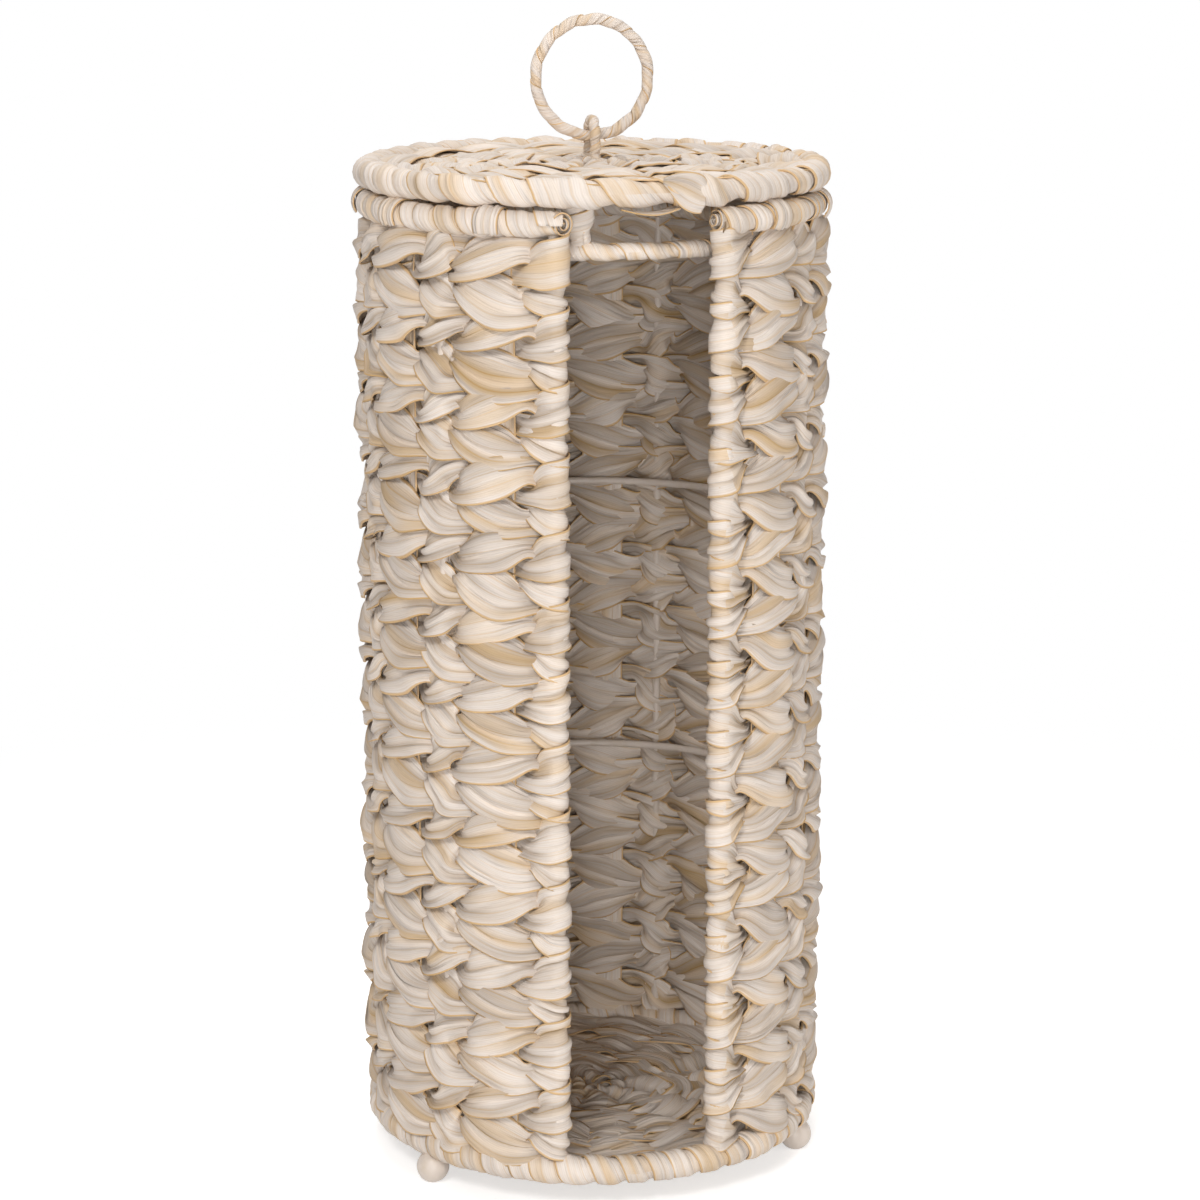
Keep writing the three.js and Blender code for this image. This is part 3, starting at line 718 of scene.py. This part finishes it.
def makeWires():
    slot = math.radians(basket["slotHalfTurn"])
    for i in range(basket["stakes"] // 2):
        turn = slot + math.radians(stakeTurn) * (2 * i + 2)
        uprightWire(f"upright_wire_{i + 1}", turn, wires["stake"], wallBottom - 3, wallTop + 2,
                    f"stake_wire_{i + 1}")
    for side, name in ((1, "right_post"), (-1, "left_post")):
        low, high = nodeHeights(f"{name}_wire")
        uprightWire(f"{name}_bar", side * slot, wires["post"], low, high, f"{name}_wire")
    for name in ("upper_hoop", "lower_hoop"):
        height = nodeMiddle(f"{name}_wire")
        place = around(wires["hoopRadius"], slot, height) * mm
        bpy.ops.mesh.primitive_circle_add(vertices=wires["sides"], radius=wires["hoop"] * mm,
                                          fill_type="NGON", location=place,
                                          rotation=(math.pi / 2, 0, slot + math.pi / 2))
        bpy.ops.object.mode_set(mode="EDIT")
        bpy.ops.mesh.select_all(action="SELECT")
        bpy.ops.mesh.spin(steps=wires["hoopSteps"], angle=2 * slot - 2 * math.pi, center=(0, 0, height * mm),
                          axis=(0, 0, 1))
        finishWire(f"{name}_ring", "basket", [f"{name}_wire"])
    print("wires drawn")


# ball feet: a ball pressed on a stem, sprayed with the frame
foot = {"radius": 5.8, "centre": 5.3, "neckAt": 0.9, "neck": 2.4, "stem": 1.9, "stemTop": 12.2,
        "turns": {"front_left": -60, "front_right": 60, "back": 180}}


def makeFeet():
    p = foot
    for name, turn in p["turns"].items():
        place = around(basket["rimRadius"], math.radians(turn), p["centre"]) * mm
        bpy.ops.mesh.primitive_uv_sphere_add(segments=36, ring_count=20, radius=p["radius"] * mm,
                                             location=place)
        bpy.ops.object.mode_set(mode="EDIT")
        bpy.ops.mesh.select_all(action="SELECT")
        bpy.ops.mesh.bisect(plane_co=(0, 0, 0), plane_no=(0, 0, 1), use_fill=True, clear_inner=True)
        bpy.ops.mesh.select_all(action="SELECT")
        neckHeight = (p["centre"] + p["radius"] * p["neckAt"]) * mm
        bpy.ops.mesh.bisect(plane_co=(0, 0, neckHeight), plane_no=(0, 0, 1), use_fill=True, clear_outer=True)
        bpy.ops.mesh.select_all(action="DESELECT")
        bpy.ops.object.mode_set(mode="OBJECT")
        mesh = bpy.context.object.data
        top = max(mesh.polygons, key=lambda face: face.center.z)
        top.select = True
        neckSize = p["neck"] / (p["radius"] * math.sqrt(1 - p["neckAt"] ** 2))
        bpy.ops.object.mode_set(mode="EDIT")
        bpy.ops.mesh.select_mode(type="FACE")
        bpy.ops.mesh.extrude_region_move(TRANSFORM_OT_translate={"value": (0, 0, 0.3 * mm)})
        bpy.ops.transform.resize(value=(neckSize, neckSize, 1))
        stemSize = p["stem"] / p["neck"]
        bpy.ops.mesh.extrude_region_move(TRANSFORM_OT_translate={"value": (0, 0, 0.5 * mm)})
        bpy.ops.transform.resize(value=(stemSize, stemSize, 1))
        bpy.ops.mesh.extrude_region_move(
            TRANSFORM_OT_translate={"value": (0, 0, p["stemTop"] * mm - neckHeight - 0.8 * mm)})
        finishWire(f"ball_foot_{name}", "basket", [f"foot_{name}"])
    print("feet fitted")


# strip wound on the small wires of the lid
handle = {"radius": 19.8, "pivot": 363.3}
handleWinding = {"radius": 1.55, "pitch": 8.9, "width": 12, "segments": 14, "step": 0.25,
                 "puff": 0.4, "crease": 0.15, "wander": 0.2, "hand": -1, "begin": 0.6}
staple = {"reach": 5.2, "foot": 353}
stapleWinding = dict(handleWinding, radius=1.35, pitch=4.6, width=7.5, puff=0.35)
stapleFoot = dict(handleWinding, radius=2.4, pitch=2.6, width=5.5, puff=0.5, oval=3.0, low=352.6, high=357.6)
connector = {"first": -16.5, "count": 4, "top": (70.4, 347.6), "bottom": (66.3, 333.2)}
connectorWinding = dict(handleWinding, radius=1.6, pitch=4.4, width=8, puff=0.4, oval=1.5)
frontConnector = dict(connectorWinding, pitch=7, width=12, puff=0.5, crease=0.3, flare=1.1)
knot = {"turn": (3.8, 14), "from": 48, "to": -22, "reach": 5.2, "bulge": 1.1, "start": 1.0, "half": 5.4,
        "crease": 1.3, "side": (0, 0, 1), "seed": 41}
looseLeaf = {"turn": (-6, 8), "from": -74, "to": -80, "reach": 5.6, "bulge": 1.6, "start": 0.5, "half": 3.2,
             "crease": 0.5, "side": (0, -1, 0), "seed": 42}


def handlePath(x):
    angle = x / handle["radius"] - math.pi / 2
    out = np.stack([np.cos(angle), 0 * angle, np.sin(angle)], axis=-1)
    centre = np.array([0, 0, handle["pivot"] + handle["radius"]]) + handle["radius"] * out
    return centre, out, np.broadcast_to(np.array([0.0, 1.0, 0.0]), out.shape)


def staplePath(x):
    reach, leg = staple["reach"], handle["pivot"] - staple["foot"]
    angle = np.clip((x - leg) / reach, 0, math.pi)
    out = np.stack([0 * angle, np.cos(angle), np.sin(angle)], axis=-1)
    rise = np.clip(x, 0, leg) - np.clip(x - leg - math.pi * reach, 0, leg)
    centre = np.array([0, 0, staple["foot"]]) + reach * out
    centre[..., 2] += rise
    return centre, out, np.broadcast_to(np.array([1.0, 0.0, 0.0]), out.shape)


def uprightPath(x):
    out = np.broadcast_to(np.array([1.0, 0.0, 0.0]), (*x.shape, 3))
    return np.stack([0 * x, 0 * x, x], axis=-1), out, np.broadcast_to(np.array([0.0, 1.0, 0.0]), out.shape)


def connectorPath(turn):
    top = around(connector["top"][0], turn, connector["top"][1])
    bottom = around(connector["bottom"][0], turn, connector["bottom"][1])
    length = float(np.linalg.norm(bottom - top))
    down = (bottom - top) / length
    aside = np.array([math.cos(turn), math.sin(turn), 0.0])
    out = np.cross(down, aside)

    def place(x):
        centre = top + x[..., None] * down
        return centre, np.broadcast_to(out, centre.shape), np.broadcast_to(aside, centre.shape)
    return place, length


def makeSmallWindings():
    circle = 2 * math.pi * handle["radius"]
    stripPiece("handle_ring_winding", [woundStrip(handlePath, 0, circle, handleWinding, True, 7)], "handle",
               ["handle_ring_wrap"])
    length = 2 * (handle["pivot"] - staple["foot"]) + math.pi * staple["reach"]
    stripPiece("handle_staple_winding", [woundStrip(staplePath, 0, length, stapleWinding, False, 8)], "lid",
               ["handle_staple_wrap"])
    stripPiece("handle_staple_tie",
               [woundStrip(uprightPath, stapleFoot["low"], stapleFoot["high"] - stapleFoot["low"], stapleFoot,
                           False, 9)], "lid")
    for i in range(connector["count"]):
        turn = math.radians(connector["first"] + 360 / connector["count"] * i)
        place, length = connectorPath(turn)
        winding = connectorWinding if i else frontConnector
        stripPiece(f"connector_winding_{i + 1}", [woundStrip(place, 0, length, winding, False, 20 + i)],
                   "lid", [f"connector_wrap_{i + 1}"])
    print("small windings done")


def looseStrip(name, p):    # an end of strip that lies over the lid rim
    rng = np.random.RandomState(p["seed"])
    count = 26
    share = np.linspace(0, 1, count)
    angle = np.radians(p["from"] + (p["to"] - p["from"]) * share)
    turn = np.radians(p["turn"][0] + (p["turn"][1] - p["turn"][0]) * share)
    reach = p["reach"] + p["bulge"] * np.sin(math.pi * share)
    centre = around(basket["rimRadius"] + reach * np.cos(angle), turn,
                    nodeMiddle("lid_rim_wire") + reach * np.sin(angle))
    width = p["start"] + p["half"] * np.sin(0.72 * math.pi * share)
    # painted shade: the strip is darker towards its narrow root at the rim winding
    form = {"crown": 0.8 * share, "bend": 0.3 * share, "bendPhase": 4 * share,
            "shade": 0.7 - 1.2 * (1 - share)}
    for i in range(creaseCount):
        form[f"crease{i}"] = p["crease"] * np.sin(math.pi * share) * rng.uniform(0.4, 1)
    strip = stripAlongPath(centre, width, stripRelief(form), np.zeros(count), stripShade(form),
                           np.array(p["side"], float), False, startAt=p["seed"] * 97.0, across=acrossStops)
    stripPiece(name, [strip], "lid")


rolledEnds = {
    "count": 44, "turns": 2.3, "begin": 0.6, "inner": 0.6, "half": 2.4, "startAt": 6100.0,
    "left": {"turn": -20.9, "face": 22, "outer": 4.5, "dome": 0.6},
    "right": {"turn": 20.9, "face": -68, "outer": 4.1, "dome": 2.6},
}


def rolledEnd(side, p):    # the strip's last turns, rolled up on an end of the top rim
    end = p[side]
    share = np.linspace(0, 1, p["count"])
    angle = 2 * math.pi * p["turns"] * share + p["begin"]
    reach = p["inner"] + (end["outer"] - p["inner"]) * share
    face = math.radians(end["face"])
    axis = np.array([math.sin(face), -math.cos(face), 0.0])
    level = np.array([math.cos(face), math.sin(face), 0.0])
    middle = around(basket["rimRadius"], math.radians(end["turn"]), nodeMiddle("top_rim_wire"))
    centre = (middle + np.outer(end["dome"] * (1 - share), axis) + np.outer(reach * np.cos(angle), level)
              + np.outer(reach * np.sin(angle), [0, 0, 1]))
    flat = np.zeros(p["count"])
    # painted shade: the inner turns of the roll are darker
    form = {"crown": 0.3 * share, "bend": flat, "bendPhase": flat, "shade": 0.3 + 0.6 * share}
    for i in range(creaseCount):
        form[f"crease{i}"] = 0.2 * share
    strip = stripAlongPath(centre, flat + p["half"], stripRelief(form), flat, stripShade(form), axis, False,
                           startAt=p["startAt"], across=acrossStops)
    stripPiece(f"top_rim_end_{side}", [strip], "basket")


def makeLooseEnds():
    looseStrip("lid_rim_knot", knot)
    looseStrip("lid_rim_loose_leaf", looseLeaf)
    rolledEnd("left", rolledEnds)
    rolledEnd("right", rolledEnds)
    print("loose ends laid")


# stage
camera = {
    "distance": 1138, "height": 461, "azimuth": -12.85, "down": 12.98, "pan": -0.14, "lens": 98.3,
}


def makeCamera(c):
    azimuth = math.radians(c["azimuth"])
    place = (c["distance"] * math.sin(azimuth), -c["distance"] * math.cos(azimuth), c["height"])
    bpy.ops.object.camera_add(location=[v * mm for v in place], rotation=(
        math.radians(90 - c["down"]), 0, azimuth + math.radians(c["pan"])))
    eye = bpy.context.object
    eye.data.lens = c["lens"]
    eye.data.sensor_width = 36
    bpy.context.scene.camera = eye


lamps = {
    "key": {"at": (-0.75, -1.35, 1.45), "size": 0.5, "power": 14.5},
    "front": {"at": (-0.3, -1.6, 0.3), "size": 0.5, "power": 9.2},
    "fill": {"at": (1.35, -1.1, 0.7), "size": 0.8, "power": 4},
    "top": {"at": (0.1, 0.25, 1.7), "size": 1.0, "power": 12},
}
ambient = 0.23
ambientColour = "#FFF4EC"
white = (1, 1, 1, 1)


def cameraSees(tree):    # 1 for what the camera sees, also in a gloss or through glass, and 0 for other light
    path = addNode(tree, "LightPath")
    direct = maths(tree, "ADD", path["Is Camera Ray"], path["Is Glossy Ray"])
    return maths(tree, "ADD", direct, path["Is Transmission Ray"], clamp=True)


def makeLights():
    for name, lamp in lamps.items():
        aim = Vector((0, 0, 0.19)) - Vector(lamp["at"])
        bpy.ops.object.light_add(type="AREA", location=lamp["at"],
                                 rotation=aim.to_track_quat("-Z", "Y").to_euler())
        light = bpy.context.object
        light.name = name
        light.data.size = lamp["size"]
        light.data.energy = lamp["power"]
    world = bpy.data.worlds.new("studio")
    bpy.context.scene.world = world
    world.use_nodes = True
    tree = world.node_tree
    tree.nodes.clear()
    # the light from all sides is a little warm, the white the camera sees is not
    seen = cameraSees(tree)
    strength = mapRange(tree, seen, 0, 1, ambient, 1)
    colour = mixColours(tree, seen, hexColour(ambientColour), white)
    background = addNode(tree, "Background", {0: colour, 1: strength})[0]
    addNode(tree, "OutputWorld", {0: background})


def makeFloor():
    bpy.ops.mesh.primitive_plane_add(size=12, location=(0, 0, 0))
    floor = bpy.context.object
    floor.name = "floor"
    material, tree = newMaterial("studio paper")
    seen = cameraSees(tree)
    shader = addNode(tree, "BsdfPrincipled", {"Base Color": (0.86, 0.86, 0.86, 1), "Roughness": 0.9,
                                              "Emission Color": white,
                                              "Emission Strength": maths(tree, "MULTIPLY", seen, 0.55)})[0]
    # away from the basket the paper is plain white to the camera
    place = addNode(tree, "TexCoord")["Object"]
    distance = addNode(tree, "VectorMath", {0: place}, operation="LENGTH")["Value"]
    far = mapRange(tree, distance, 0.2, 0.6, curve="SMOOTHSTEP")
    plain = addNode(tree, "Emission", {0: white, 1: 1})[0]
    mixed = addNode(tree, "MixShader", {0: maths(tree, "MULTIPLY", far, seen), 1: shader, 2: plain})[0]
    addNode(tree, "OutputMaterial", {0: mixed})
    floor.data.materials.append(material)


makeCamera(camera)
makeLights()
makeFloor()
makeWall()
makeRibbons()
makeWires()
makeFeet()
makeRims()
makeDiscs()
makeSmallWindings()
makeLooseEnds()
bpy.context.scene.view_settings.view_transform = "Standard"
